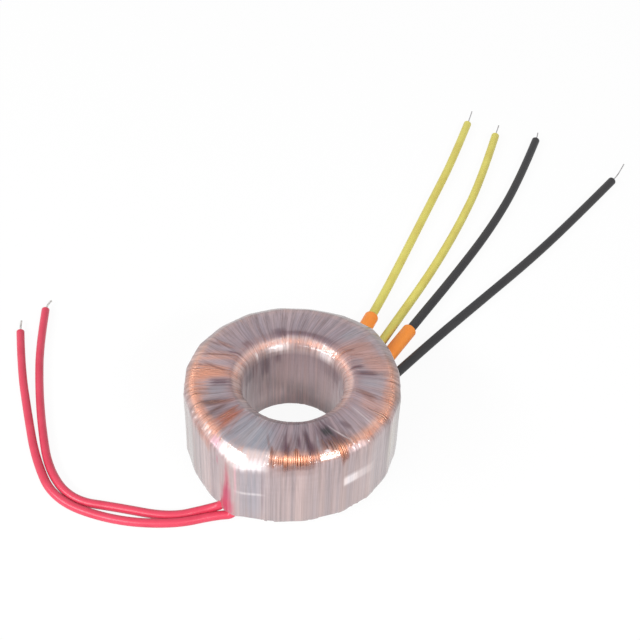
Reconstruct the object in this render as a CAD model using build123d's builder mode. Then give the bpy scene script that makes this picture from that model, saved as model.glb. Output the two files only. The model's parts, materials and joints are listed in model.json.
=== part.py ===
"""Toroidal mains transformer with six flying leads, built from the core outwards.

The origin is the centre of the ring on the surface that it stands on, and +Z is the axis of
the hole. All sizes are in millimetres.
"""
import os
from collections import namedtuple
from math import cos, pi, radians, sin, tan

from build123d import *

os.makedirs("parts", exist_ok=True)

# ---------------------------------------------------------------- driving dimensions
CORE_INNER_D = 38.0         # ring of wound steel strip
CORE_OUTER_D = 52.0
CORE_HEIGHT = 20.0

# A layer wound over the core is thicker in the hole, where its turns crowd together.
Build = namedtuple("Build", "outside inside ends")
CORE_TAPE = Build(0.45, 0.45, 0.45)
PRIMARY = Build(1.25, 2.0, 1.3)
BARRIER = Build(0.2, 0.2, 0.2)
YELLOW_SECONDARY = Build(0.75, 0.9, 0.65)
BLACK_SECONDARY = Build(0.75, 0.9, 0.65)
YELLOW_BEVEL = 1.0          # drawn-down corners of the yellow winding

FILM = 0.45                 # finished thickness of the lapped clear film
LAPS = 20                   # passes of film round the ring, each one flat across the wall
FIRST_EDGE = 9.0            # angle of the first edge between two flats
OUTER_ROUND = 3.7           # rolled edges of the film
BORE_ROUND = 3.8
BEVEL_SHARE = 0.6           # bevel of the winding under a rolled edge, as a share of its inner radius
# How far the edges between flats stand out where the film bridges the leads.
SPLICE_SWELL = {12: 1.0, 13: 3.1, 14: 0.9}
LEAD_OUT_SWELL = {1: 0.8, 2: 2.6, 3: 1.0}
TENT_INSET = 2.2            # the hollow under the bridging film stops short of its ends

PAD = 0.3                   # insulating pad beside the primary splices
PAD_ANGLES = (-116.5, -101.5)
PAD_FOOT = 4.0              # height of its lower edge
PAD_REACH = 20.5            # radius at which its tongue ends on the top

STRIP = 0.1                 # blank identification strip under the film
STRIP_ANGLES = (-61.5, -41.5)
STRIP_MIDDLE = 14.5
STRIP_WIDTH = 3.0

RED_LEAD_D = 2.5            # stranded hook-up wire
RED_STRANDS_D = 0.7
SLEEVED_LEAD_D = 2.9        # soft sleeving over the winding's own wire
WINDING_WIRE_D = 0.4
COLLAR_WALL = 0.8           # orange collar sleeves
COLLAR_LENGTHS = {"yellow": 27.0, "black": 28.7}
COLLAR_ROUND = 0.7          # rolled rim at its outer end
SPLICE_D = 1.5              # soldered joint under the film
SPLICE_LENGTH = 5.0
ARC_SHARE = 0.45            # how much of the shorter run a bend in a lead may take

# ---------------------------------------------------------------- routes of the leads
# Each route starts under the film and ends at the cut face of the insulation. The first
# points of the red leads climb the wall of the winding. The routes are laid against a wall
# of this radius, and each bundle moves along its own bearing with the real one.
ROUTES_WALL_R = 29.4
BEARINGS = {"red": -123.7, "yellow": 50.0, "black": 50.0}
ROUTES = {
    "red_lead_outer": [
        (-14.4, -27.15, 7.2), (-14.4, -27.15, 1.25), (-20.0, -28.4, 1.25), (-31.6, -31.9, 1.25),
        (-48.3, -30.2, 1.25), (-64.8, -23.5, 1.25), (-72.1, -9.0, 1.25), (-77.2, 8.5, 1.25),
        (-82.0, 26.0, 1.25), (-85.0, 42.0, 1.25)],
    "red_lead_inner": [
        (-17.1, -25.55, 9.4), (-17.1, -25.55, 3.8), (-22.9, -26.2, 1.25), (-32.6, -28.7, 1.25),
        (-47.5, -25.6, 1.25), (-59.7, -23.7, 1.25), (-67.7, -13.3, 1.25), (-72.2, 3.0, 1.25),
        (-75.6, 19.4, 1.25), (-78.1, 36.5, 1.25), (-78.8, 52.3, 1.25)],
    "yellow_lead_left": [
        (13.9, 26.9, 2.3), (26.1, 54.6, 2.5), (36.9, 84.0, 1.45), (47.4, 112.0, 1.45),
        (56.7, 136.7, 1.45), (64.2, 160.4, 1.45)],
    "yellow_lead_right": [
        (18.6, 24.1, 1.45), (31.4, 48.5, 1.45), (44.8, 73.9, 1.45), (56.4, 99.6, 1.45),
        (66.4, 126.1, 1.45), (74.1, 153.1, 1.45)],
    "black_lead_left": [
        (21.6, 21.4, 2.3), (37.1, 46.8, 2.5), (52.5, 72.6, 1.45), (67.0, 97.8, 1.45),
        (79.5, 124.3, 1.45), (89.1, 150.8, 1.45)],
    "black_lead_right": [
        (24.1, 18.5, 1.45), (41.6, 39.8, 1.45), (60.1, 60.8, 1.45), (79.3, 82.5, 1.45),
        (96.9, 104.5, 1.45), (113.9, 126.9, 1.45)],
}
# Bare end of each lead: how far it runs straight, then where it goes on to.
BARE_ENDS = {
    "red_lead_outer": (2.4, (-0.1, 2.6, 0.0)),
    "red_lead_inner": (2.0, (1.3, 2.2, 0.1)),
    "yellow_lead_left": (3.2, (1.3, 4.2, 0.8)),
    "yellow_lead_right": (2.8, (1.1, 3.3, 0.6)),
    "black_lead_left": (2.2, (0.5, 2.1, 0.5)),
    "black_lead_right": (4.4, (3.1, 5.6, 0.9)),
}

# ---------------------------------------------------------------- layer arithmetic
Ring = namedtuple("Ring", "r_in r_out low high")


def grown(ring, build):
    """The ring that a layer of this build makes over another."""
    return Ring(ring.r_in - build.inside, ring.r_out + build.outside,
                ring.low - build.ends, ring.high + build.ends)


LAYERS = (CORE_TAPE, PRIMARY, BARRIER, YELLOW_SECONDARY, BLACK_SECONDARY)
core_foot = FILM + sum(build.ends for build in LAYERS)
core_ring = Ring(CORE_INNER_D / 2, CORE_OUTER_D / 2, core_foot, core_foot + CORE_HEIGHT)
tape_ring = grown(core_ring, CORE_TAPE)
primary_ring = grown(tape_ring, PRIMARY)
barrier_ring = grown(primary_ring, BARRIER)
yellow_ring = grown(barrier_ring, YELLOW_SECONDARY)
wound_ring = grown(yellow_ring, BLACK_SECONDARY)
height = wound_ring.high + FILM
bore_r = wound_ring.r_in - FILM
flat_r = wound_ring.r_out + FILM        # from the axis to the middle of a flat
outer_bevel = BEVEL_SHARE * (OUTER_ROUND - FILM)
bore_bevel = BEVEL_SHARE * (BORE_ROUND - FILM)


def half_section(ring, at_wall=0.0, at_bore=0.0):
    """Section of a ring on one side of the axis, with its corners bevelled if asked."""
    with BuildSketch(Plane.XZ) as section:
        with Locations(((ring.r_in + ring.r_out) / 2, (ring.low + ring.high) / 2)):
            Rectangle(ring.r_out - ring.r_in, ring.high - ring.low)
        columns = section.vertices().group_by(Axis.X)
        if at_wall:
            chamfer(columns[-1], at_wall)
        if at_bore:
            chamfer(columns[0], at_bore)
    return section.sketch_local


def revolved(outer, inner=None):
    """A ring turned from its half section, less the section of what lies inside it."""
    with BuildPart() as ring:
        with BuildSketch(Plane.XZ):
            add(outer)
            if inner:
                add(inner, mode=Mode.SUBTRACT)
        revolve(axis=Axis.Z)
    return ring


def save(piece, name):
    """Label a finished piece and write it out under the same name."""
    piece.part.label = name
    export_step(piece.part, f"parts/{name}.step")


# ---------------------------------------------------------------- core and windings
core_section = half_section(core_ring)
tape_section = half_section(tape_ring)
primary_section = half_section(primary_ring)
barrier_section = half_section(barrier_ring)
yellow_section = half_section(yellow_ring, YELLOW_BEVEL, YELLOW_BEVEL)
wound_section = half_section(wound_ring, outer_bevel, bore_bevel)

save(revolved(core_section), "strip_core")
save(revolved(tape_section, core_section), "core_tape")
save(revolved(primary_section, tape_section), "primary_winding")
save(revolved(barrier_section, primary_section), "barrier_film")
save(revolved(yellow_section, barrier_section), "yellow_secondary")
save(revolved(wound_section, yellow_section), "black_secondary")


# ---------------------------------------------------------------- pieces under the film
def radial_plane(angle):
    """The half plane through the axis at this angle, x outwards and y up."""
    turn = radians(angle)
    return Plane(origin=(0, 0, 0), x_dir=(cos(turn), sin(turn), 0), z_dir=(sin(turn), -cos(turn), 0))


with BuildSketch() as pad_section:
    add(wound_section)
    offset(amount=PAD, kind=Kind.INTERSECTION)
    with Locations((PAD_REACH, PAD_FOOT)):
        Rectangle(flat_r, height, align=(Align.MIN, Align.MIN), mode=Mode.INTERSECT)
    add(wound_section, mode=Mode.SUBTRACT)

with BuildPart() as splice_pad:
    with BuildSketch(radial_plane(PAD_ANGLES[0])):
        add(pad_section.sketch)
    revolve(axis=Axis.Z, revolution_arc=PAD_ANGLES[1] - PAD_ANGLES[0])
save(splice_pad, "splice_pad")

with BuildPart() as type_strip:
    with BuildSketch(radial_plane(STRIP_ANGLES[0])):
        with Locations((wound_ring.r_out, STRIP_MIDDLE)):
            Rectangle(STRIP, STRIP_WIDTH, align=(Align.MIN, Align.CENTER))
    revolve(axis=Axis.Z, revolution_arc=STRIP_ANGLES[1] - STRIP_ANGLES[0])
save(type_strip, "type_strip")


# ---------------------------------------------------------------- leads
def laid(route, colour, diameter):
    """A route moved out with the wall of the winding, and set down on what the part stands on."""
    rise = diameter / 2 - min(point[2] for point in route)
    outwards = wound_ring.r_out - ROUTES_WALL_R + rise
    bearing = radians(BEARINGS[colour])
    return [Vector(*point) + Vector(outwards * cos(bearing), outwards * sin(bearing), rise)
            for point in route]


def bend_radii(points):
    """For each corner of a route, the largest arc that its two runs leave room for."""
    radii = []
    for before, corner, after in zip(points, points[1:], points[2:]):
        run_in = corner - before
        run_out = after - corner
        turn = radians(run_in.get_angle(run_out))
        radii.append(ARC_SHARE * min(run_in.length, run_out.length) / tan(turn / 2))
    return radii


def tube(points, diameter):
    """A round tube along straight runs joined by tangent arcs."""
    with BuildPart() as swept:
        with BuildLine() as path:
            FilletPolyline(*points, radius=bend_radii(points))
        with BuildSketch(Plane(origin=path.line @ 0, z_dir=path.line % 0)):
            Circle(diameter / 2)
        sweep()
    return swept, path.wires()[0]


def bare_end(name, lead_path, diameter):
    """The bare wire that stands out of the end of a lead."""
    straight, onward = BARE_ENDS[name]
    face = lead_path @ 1
    elbow = face + (lead_path % 1) * straight
    return tube([face, elbow, elbow + Vector(*onward)], diameter)[0]


leads = {}
paths = {}
for name, route in ROUTES.items():
    colour = name.split("_")[0]
    red = colour == "red"
    diameter = RED_LEAD_D if red else SLEEVED_LEAD_D
    points = laid(route, colour, diameter)
    leads[name], paths[name] = tube(points, diameter)
    save(leads[name], name)
    save(bare_end(name, paths[name], RED_STRANDS_D if red else WINDING_WIRE_D), f"{name}_bare_end")
    full = paths[name].length * pi * diameter ** 2 / 4
    print(f"{name}: length {paths[name].length:.1f}, volume {leads[name].part.volume / full:.4f} of full,",
          "radii", [round(radius, 1) for radius in bend_radii(points)])

collars = {}
for colour in ("yellow", "black"):
    path = paths[f"{colour}_lead_left"]
    covered = path.trim(0, COLLAR_LENGTHS[colour] / path.length)
    with BuildPart() as collar:
        with BuildSketch(Plane(origin=covered @ 0, z_dir=covered % 0)):
            Circle(SLEEVED_LEAD_D / 2 + COLLAR_WALL)
            Circle(SLEEVED_LEAD_D / 2, mode=Mode.SUBTRACT)
        sweep(path=covered)
        outer_end = collar.faces().filter_by(GeomType.PLANE).sort_by_distance(covered @ 1)[0]
        fillet(outer_end.outer_wire().edges(), COLLAR_ROUND)
    collars[colour] = collar
    save(collar, f"{colour}_lead_collar")

splices = {}
for name in ("red_lead_outer", "red_lead_inner"):
    with BuildPart() as splice:
        with Locations(paths[name] @ 0):
            Cylinder(SPLICE_D / 2, SPLICE_LENGTH, align=(Align.CENTER, Align.CENTER, Align.MIN))
    splices[name] = splice
    save(splice, name.replace("lead", "splice"))


# ---------------------------------------------------------------- outer film
def lap_edge(number, inset=0.0):
    """Where the edge between two flats stands in plan, drawn in by an inset."""
    angle = radians(FIRST_EDGE + 360 / LAPS * number)
    swell = SPLICE_SWELL.get(number, 0.0) + LEAD_OUT_SWELL.get(number, 0.0)
    radius = (flat_r - inset) / cos(pi / LAPS) + swell
    return radius * cos(angle), radius * sin(angle)


def tent(swell):
    """The hollow beside the leads, where the film bridges from wall to wall."""
    root = wound_ring.r_out - OUTER_ROUND
    ends = [radians(FIRST_EDGE + 360 / LAPS * number) for number in (max(swell) + 1, min(swell) - 1)]
    with BuildPart() as bridged:
        with BuildSketch(Plane.XY.offset(TENT_INSET)):
            with BuildLine():
                Polyline(*[lap_edge(number, FILM) for number in swell],
                         *[(root * cos(angle), root * sin(angle)) for angle in ends], close=True)
            make_face()
        extrude(amount=height - 2 * TENT_INSET)
    return bridged


wound_solid = revolved(wound_section)
hollow = tent(SPLICE_SWELL)

with BuildPart() as outer_film:
    with BuildSketch():
        with BuildLine():
            Polyline(*[lap_edge(number) for number in range(LAPS)], close=True)
        make_face()
    extrude(amount=height)
    rims = outer_film.edges().group_by(Axis.Z)
    fillet(rims[0] + rims[-1], OUTER_ROUND)
    with Locations((0, 0, height)):
        Hole(bore_r)
    bore_rims = outer_film.edges().filter_by(GeomType.CIRCLE).sort_by(SortBy.RADIUS)[-2:]
    fillet(bore_rims, BORE_ROUND)
    add(wound_solid.part, mode=Mode.SUBTRACT)
    add(hollow.part, mode=Mode.SUBTRACT)
    for inside in (splice_pad, type_strip, *leads.values(), *collars.values(), *splices.values()):
        add(inside.part, mode=Mode.SUBTRACT)
save(outer_film, "outer_film")
print(f"outer film: {len(outer_film.solids())} solid, height {height:.2f}, bore radius {bore_r:.2f}")
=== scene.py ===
# %% [markdown]
# # A small toroidal transformer in clear film
# The object is a ring of steel strip wound with copper wire and lapped in clear plastic film, with
# two red, two yellow and two black leads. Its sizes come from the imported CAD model, which is loaded
# first and never moved. Everything below adds the looks: the leads as smooth curves, the copper as
# real turns, the film as one creased skin, and a procedural finish on every surface.

# %% Load the frame
import json
from math import atan2, cos, pi, radians, sin, tau

import bpy
import numpy as np
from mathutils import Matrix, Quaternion, Vector
from mathutils.bvhtree import BVHTree


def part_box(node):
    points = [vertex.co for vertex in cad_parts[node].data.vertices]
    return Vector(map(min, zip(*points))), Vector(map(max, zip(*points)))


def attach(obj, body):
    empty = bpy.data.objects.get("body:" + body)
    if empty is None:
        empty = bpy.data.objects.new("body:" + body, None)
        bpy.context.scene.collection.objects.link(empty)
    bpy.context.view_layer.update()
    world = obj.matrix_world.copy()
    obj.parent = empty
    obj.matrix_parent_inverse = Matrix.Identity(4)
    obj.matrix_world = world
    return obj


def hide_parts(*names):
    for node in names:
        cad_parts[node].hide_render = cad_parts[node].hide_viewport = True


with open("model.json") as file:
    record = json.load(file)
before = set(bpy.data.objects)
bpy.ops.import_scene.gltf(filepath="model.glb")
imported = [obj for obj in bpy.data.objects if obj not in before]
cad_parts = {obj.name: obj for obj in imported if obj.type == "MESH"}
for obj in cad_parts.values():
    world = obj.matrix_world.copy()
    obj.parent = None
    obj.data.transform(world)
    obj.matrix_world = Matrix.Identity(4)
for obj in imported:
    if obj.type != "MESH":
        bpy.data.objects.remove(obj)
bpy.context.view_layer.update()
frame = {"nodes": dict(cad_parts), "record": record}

nodes = frame["nodes"]
scene = bpy.context.scene

# %% [markdown]
# ## The sizes of the ring
# The CAD nodes give the outside of the winding and of the film, and the record's bore mount gives the
# hole. Only the bends of the film are named here, because no box says how far a bend reaches.

# %% Sizes read from the frame
MM = 0.001
OUTER_ROUND = 3.7 * MM
BORE_ROUND = 3.8 * MM
wound_low, wound_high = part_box("black_secondary")
film_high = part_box("outer_film")[1]
hole = next(mount for mount in frame["record"]["mounts"] if mount["kind"] == "bore")
bore_r = hole["dims"]["r_mm"] * MM
height = film_high.z
film = height - wound_high.z
wound_out = wound_high.x
wound_in = bore_r + film
print(f"bore {bore_r:.4f}, winding {wound_in:.4f} to {wound_out:.4f}, film {film:.5f}")

# %% [markdown]
# ## The outline of the film
# Clear film is wound round the ring as the wire is. Each pass lies flat across the wall, so the plan
# is a polygon whose edges stand out, more so where the film bridges the leads. The CAD node already
# has that outline. A ray cast inwards at mid height reads it back along any azimuth, so the leads
# and the film's skin can both use it.

# %% Read the film's radius
cad_film = nodes["outer_film"].data
film_faces = [face.vertices for face in cad_film.polygons]
film_tree = BVHTree.FromPolygons([v.co for v in cad_film.vertices], film_faces)


def wall_radius(azimuth):
    """The film's radius at mid height, along one azimuth in radians."""
    way = Vector((cos(azimuth), sin(azimuth), 0.0))
    start = way * (2 * wound_out) + Vector((0, 0, height / 2))
    return Vector(film_tree.ray_cast(start, -way)[0][:2]).length


print(f"film radius at 0 and 55 degrees: {wall_radius(0.0):.5f} {wall_radius(radians(55.0)):.5f}")

# %% [markdown]
# ## The camera
# The camera looks down on the ring at a little over forty degrees, with the leads running away to
# the left and to the back. A long lens keeps the ring's far side nearly as wide as its near side. It
# leans by a couple of degrees, so the roll is turned in after the aim.

# %% The camera
CAMERA_AT = Vector((0.0, -0.24275, 0.27954))
CAMERA_AIM = Vector((0.00823, 0.05179, 0.0))
CAMERA_ROLL = radians(2.404)
CAMERA_LENS = 71.70


def placed(name, data):
    """A new object that holds the data, put in the scene at the origin."""
    made = bpy.data.objects.new(name, data)
    scene.collection.objects.link(made)
    return made


camera = placed("camera", bpy.data.cameras.new("camera"))
scene.camera = camera
camera.data.lens = CAMERA_LENS
camera.data.clip_start = 0.01
camera.location = CAMERA_AT
camera.rotation_mode = "QUATERNION"
aim = (CAMERA_AIM - CAMERA_AT).to_track_quat("-Z", "Y")
camera.rotation_quaternion = aim @ Quaternion((0, 0, 1), CAMERA_ROLL)
print("camera", round((CAMERA_AIM - CAMERA_AT).length, 3), "m from its aim")

# %% [markdown]
# ## The leads
# Six flexible leads leave the ring low on its wall, drop to the surface and lie there in slow curves.
# Each could be a swept mesh, but a NURBS curve with a round bevel is easier to read and to bend. Its
# control points are the route's own corners, so the line cuts smoothly inside each of them. The order
# is set after the points are added, because a new spline can't hold an order above its point count.

# %% Routes and sizes of the leads
RED_LEAD_D = 2.5 * MM
SLEEVED_LEAD_D = 2.9 * MM
ROUTES = {
    "red_lead_outer": [
        (-0.0144, -0.02715, 0.0072), (-0.0144, -0.02715, 0.00125), (-0.02, -0.02768, 0.00125),
        (-0.0316, -0.0311, 0.00125), (-0.0483, -0.0302, 0.00125), (-0.0648, -0.0235, 0.00125),
        (-0.0721, -0.009, 0.00125), (-0.0772, 0.0085, 0.00125), (-0.082, 0.026, 0.00125),
        (-0.08497, 0.042, 0.00125)],
    "red_lead_inner": [
        (-0.0171, -0.02555, 0.0094), (-0.0171, -0.02555, 0.0038), (-0.0229, -0.0257, 0.00125),
        (-0.0326, -0.0287, 0.00125), (-0.0475, -0.0256, 0.00125), (-0.0597, -0.0237, 0.00125),
        (-0.0677, -0.0133, 0.00125), (-0.0722, 0.003, 0.00125), (-0.0756, 0.0194, 0.00125),
        (-0.0781, 0.0365, 0.00125), (-0.0788, 0.0523, 0.00125)],
    "yellow_lead_left": [
        (0.0139, 0.0269, 0.0023), (0.0261, 0.0546, 0.0025), (0.0369, 0.084, 0.00145),
        (0.0474, 0.112, 0.00145), (0.0567, 0.1367, 0.00145), (0.0642, 0.1604, 0.00145)],
    "yellow_lead_right": [
        (0.0186, 0.0241, 0.00145), (0.0314, 0.0485, 0.00145), (0.0448, 0.0739, 0.00145),
        (0.0564, 0.0996, 0.00145), (0.0664, 0.1261, 0.00145), (0.0741, 0.1531, 0.00145)],
    "black_lead_left": [
        (0.0216, 0.0214, 0.0023), (0.0371, 0.0468, 0.0025), (0.0525, 0.0726, 0.00145),
        (0.067, 0.0978, 0.00145), (0.0795, 0.1243, 0.00145), (0.0891, 0.1508, 0.00145)],
    "black_lead_right": [
        (0.0241, 0.0185, 0.00145), (0.0416, 0.0398, 0.00145), (0.0601, 0.0608, 0.00145),
        (0.0793, 0.0825, 0.00145), (0.0969, 0.1045, 0.00145), (0.1139, 0.1269, 0.00145)],
}
DIAMETERS = {name: RED_LEAD_D if name.startswith("red") else SLEEVED_LEAD_D for name in ROUTES}
print("leads:", ", ".join(ROUTES))

# %% [markdown]
# A lead leaves the object where its route passes out through the film, so that point is worked out
# from the route and the film's radius, and it needs no number of its own. Each curve's thickness is
# the radius of its points times a bevel of one metre, because a point's radius also counts in the
# curve's box and its default is a metre.

# %% The curves of the leads
CURVE_STEPS = 16
ROUND_STEPS = 5


def nurbs_path(name, points, radius=0.0):
    """A curve object of one open NURBS spline that starts and ends on its end points."""
    curve = bpy.data.curves.new(name, "CURVE")
    curve.dimensions = "3D"
    spline = curve.splines.new("NURBS")
    spline.points.add(len(points) - 1)
    for slot, point in zip(spline.points, points):
        slot.co = (*point, 1.0)
        slot.radius = radius
    spline.order_u = 3
    spline.use_endpoint_u = True
    curve.resolution_u = CURVE_STEPS
    curve.bevel_depth = 1.0 if radius else 0.0
    curve.bevel_resolution = ROUND_STEPS
    curve.use_fill_caps = True
    return placed(name, curve)


def leaves_ring(points):
    """The point where a route passes out through the wall of the film."""
    for start, end in zip(points, points[1:]):
        near, far = Vector(start[:2]).length, Vector(end[:2]).length
        edge = wall_radius(atan2(end[1], end[0]))
        if far > edge:
            return Vector(start).lerp(Vector(end), (edge - near) / (far - near))


leads = {}
for name, route in ROUTES.items():
    lead = nurbs_path(name + "_cord", route, DIAMETERS[name] / 2)
    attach(lead, "root")
    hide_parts(name)
    leads[name] = lead
    print(name, "leaves the film at", [round(v, 4) for v in leaves_ring(route)])

# %% [markdown]
# ## One class for node arithmetic
# A material is a sum of small ideas, such as milkiness plus streaks times a mask. Written node by
# node that becomes pages of links. Here a socket is wrapped in a class whose operators add the Math
# node for each sum, so that a finish reads as a formula. The same class serves geometry trees.

# %% Sockets and graphs
class Socket:
    """One output of a node. Arithmetic on it adds the Math node that does the sum."""

    def __init__(self, graph, socket):
        self.graph = graph
        self.socket = socket

    def __add__(self, other):
        return self.graph.math("ADD", self, other)

    def __sub__(self, other):
        return self.graph.math("SUBTRACT", self, other)

    def __mul__(self, other):
        return self.graph.math("MULTIPLY", self, other)

    def __truediv__(self, other):
        return self.graph.math("DIVIDE", self, other)

    __radd__ = __add__


class Graph:
    """Builds one node tree, for a material or for a geometry modifier."""

    def __init__(self, tree):
        self.tree = tree

    def node(self, kind, settings=None, inputs=None, output=0):
        """One node: its type, its settings, then the values or links of its sockets."""
        made = self.tree.nodes.new(kind)
        for name, value in (settings or {}).items():
            setattr(made, name, value)
        for key, value in (inputs or {}).items():
            if isinstance(value, Socket):
                self.tree.links.new(value.socket, made.inputs[key])
            else:
                made.inputs[key].default_value = value
        return Socket(self, made.outputs[output]) if made.outputs else None

    def math(self, operation, *values):
        """A Math node on links or plain numbers."""
        return self.node("ShaderNodeMath", {"operation": operation}, dict(enumerate(values)))

    def blend(self, share, first, second, how="MIX"):
        """Two colours mixed by a share."""
        settings = {"data_type": "RGBA", "blend_type": how}
        return self.node("ShaderNodeMix", settings, {0: share, 6: first, 7: second}, output=2)

    def tones(self, share, first, second):
        """Two opaque colours mixed by a share."""
        return self.blend(share, (*first, 1.0), (*second, 1.0))

    def ease(self, value, low, high, start=0.0, end=1.0):
        """A smooth step from start to end as the value goes from low to high."""
        settings = {"interpolation_type": "SMOOTHSTEP"}
        inputs = {0: value, 1: low, 2: high, 3: start, 4: end}
        return self.node("ShaderNodeMapRange", settings, inputs)

    def noise(self, vector, scale, detail=2.0, rough=0.5):
        """Perlin noise from 0 to 1 along a vector."""
        inputs = {"Vector": vector, "Scale": scale, "Detail": detail, "Roughness": rough}
        return self.node("ShaderNodeTexNoise", None, inputs)

    def vectors(self, operation, first, second):
        """A Vector Math node on two vectors. Multiplying one by plain numbers stretches a pattern."""
        return self.node("ShaderNodeVectorMath", {"operation": operation}, {0: first, 1: second})

    def attribute(self, name, output=2):
        """A named attribute of the mesh: output 0 is a colour, 1 a vector and 2 a number."""
        return self.node("ShaderNodeAttribute", {"attribute_name": name}, output=output)

    def bump(self, height_map, distance, strength=1.0):
        """A normal that leans with a height map."""
        inputs = {"Height": height_map, "Distance": distance, "Strength": strength}
        return self.node("ShaderNodeBump", None, inputs)


def emptied(block):
    """The graph of a material or a world, with its own nodes taken out."""
    block.use_nodes = True
    block.node_tree.nodes.clear()
    return Graph(block.node_tree)


def material(name, finish):
    """A new material. The finish is a function that takes its graph and gives shader inputs."""
    made = bpy.data.materials.new(name)
    graph = emptied(made)
    shader = graph.node("ShaderNodeBsdfPrincipled", None, finish(graph))
    graph.node("ShaderNodeOutputMaterial", None, {"Surface": shader})
    return made


def place(graph):
    """The object's own coordinates, in metres."""
    return graph.node("ShaderNodeTexCoord", output=3)


def coat(name, finish):
    """Gives a CAD node one finish in place of its plain one."""
    nodes[name].data.materials.clear()
    nodes[name].data.materials.append(finish)


print("node helpers ready")

# %% [markdown]
# ## Insulation of the leads
# The red leads are stranded hook-up wire in soft vinyl, with a low sheen and a slightly uneven skin
# from the extruder. The yellow and black sleeving is duller and a little grubby from handling. All
# of them are one recipe: a base colour that drifts slowly, a fine grain in the gloss, and a bump.

# %% Finishes of the leads
def insulation(colour, deep, gloss, grain, mottle=0.5):
    """Extruded plastic: slow drift towards a deeper colour, and a fine grain."""
    def finish(graph):
        where = place(graph)
        drift = graph.ease(graph.noise(where, 140.0, 3.0), 0.35, 0.7)
        fine = graph.noise(where, 2600.0, 3.0, 0.6)
        return {
            "Base Color": graph.tones(drift * mottle, colour, deep),
            "Roughness": gloss + fine * 0.16 + drift * 0.06,
            "Normal": graph.bump(fine, grain * MM, 0.7),
        }
    return finish


red_vinyl = material("red_vinyl", insulation((0.61, 0.045, 0.090), (0.50, 0.024, 0.058), 0.26, 0.03))
yellow_sleeve = material(
    "yellow_sleeve", insulation((0.67, 0.605, 0.135), (0.60, 0.50, 0.105), 0.40, 0.05, 0.8))
black_sleeve = material(
    "black_sleeve", insulation((0.009, 0.0085, 0.0105), (0.018, 0.0165, 0.018), 0.42, 0.05, 0.9))
orange_sleeve = material(
    "orange_sleeve", insulation((1.00, 0.320, 0.040), (0.92, 0.24, 0.032), 0.36, 0.05))
INSULATION = {"red": red_vinyl, "yellow": yellow_sleeve, "black": black_sleeve}
for name, lead in leads.items():
    colour = name.split("_")[0]
    lead.data.materials.append(INSULATION[colour])
    "red_insulation" if colour == "red" else colour + "_sleeving"
for colour in ("yellow", "black"):
    coat(colour + "_lead_collar", orange_sleeve)
print("insulation:", ", ".join(sorted(INSULATION)))

# %% [markdown]
# ## The bare ends
# The red leads end in a tip of tinned copper strands, twisted together and dipped. At this size a
# plain rod would look like a pin, so each tip is seven real strands. A small geometry tree copies
# the path six times, moves each copy out to its place round the twist, and gives a skin to all six
# and to the path itself, which is the strand in the middle.

# %% Twisted strands
STRAND_D = 0.23 * MM
STRANDS = 6
STRAND_STEPS = 40
STRAND_SIDES = 8
TWIST_PITCH = 4.5 * MM
BARE_ENDS = {
    "red_lead_outer": (0.0024, (-0.0001, 0.0026, 0.0)),
    "red_lead_inner": (0.0020, (0.0013, 0.0022, 0.0001)),
}


def metal(colour, dull, rough, scratch):
    """Bare metal with a patchy shine."""
    def finish(graph):
        where = place(graph)
        patch = graph.noise(where, 900.0, 3.0)
        fine = graph.noise(where, 5200.0, 2.0)
        return {
            "Base Color": graph.tones(graph.ease(patch, 0.35, 0.7), colour, dull),
            "Metallic": 0.92,
            "Roughness": rough + patch * 0.2,
            "Normal": graph.bump(fine, scratch * MM, 0.6),
        }
    return finish


tinned = material("tinned_copper", metal((0.74, 0.73, 0.71), (0.52, 0.50, 0.48), 0.22, 0.03))


def tree_input(tree, name, kind):
    """Adds a named input to a geometry tree and gives its identifier."""
    return tree.interface.new_socket(name, in_out="INPUT", socket_type=kind).identifier


def geometry_tree(name, inputs):
    """A geometry tree with named inputs: its graph, its input sockets and their identifiers."""
    tree = bpy.data.node_groups.new(name, "GeometryNodeTree")
    keys = {"Geometry": tree_input(tree, "Geometry", "NodeSocketGeometry")}
    for label, kind in inputs.items():
        keys[label] = tree_input(tree, label, kind)
    tree.interface.new_socket("Geometry", in_out="OUTPUT", socket_type="NodeSocketGeometry")
    graph = Graph(tree)
    group = tree.nodes.new("NodeGroupInput")
    sockets = {label: Socket(graph, group.outputs[label]) for label in keys}
    return graph, sockets, keys


def baked(name, mesh, tree, keys, values):
    """Runs a geometry tree on a mesh once, and keeps what it makes as a plain mesh object."""
    carrier = placed(name + "_carrier", mesh)
    modifier = carrier.modifiers.new(name, "NODES")
    modifier.node_group = tree
    for label, value in values.items():
        modifier[keys[label]] = value
    depsgraph = bpy.context.evaluated_depsgraph_get()
    made = bpy.data.meshes.new_from_object(carrier.evaluated_get(depsgraph))
    bpy.data.objects.remove(carrier)
    return placed(name, made)


def finished(graph, geometry, finish):
    """Ends a tree: real meshes in place of instances, smooth, with their material."""
    whole = graph.node("GeometryNodeRealizeInstances", None, {0: geometry})
    smooth = graph.node("GeometryNodeSetShadeSmooth", None, {0: whole})
    coated = graph.node("GeometryNodeSetMaterial", None, {0: smooth, "Material": finish})
    graph.node("NodeGroupOutput", None, {0: coated})


def ring(graph, sides, radius):
    """The round section of a wire."""
    inputs = {"Resolution": sides, "Radius": radius}
    return graph.node("GeometryNodeCurvePrimitiveCircle", None, inputs)


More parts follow.
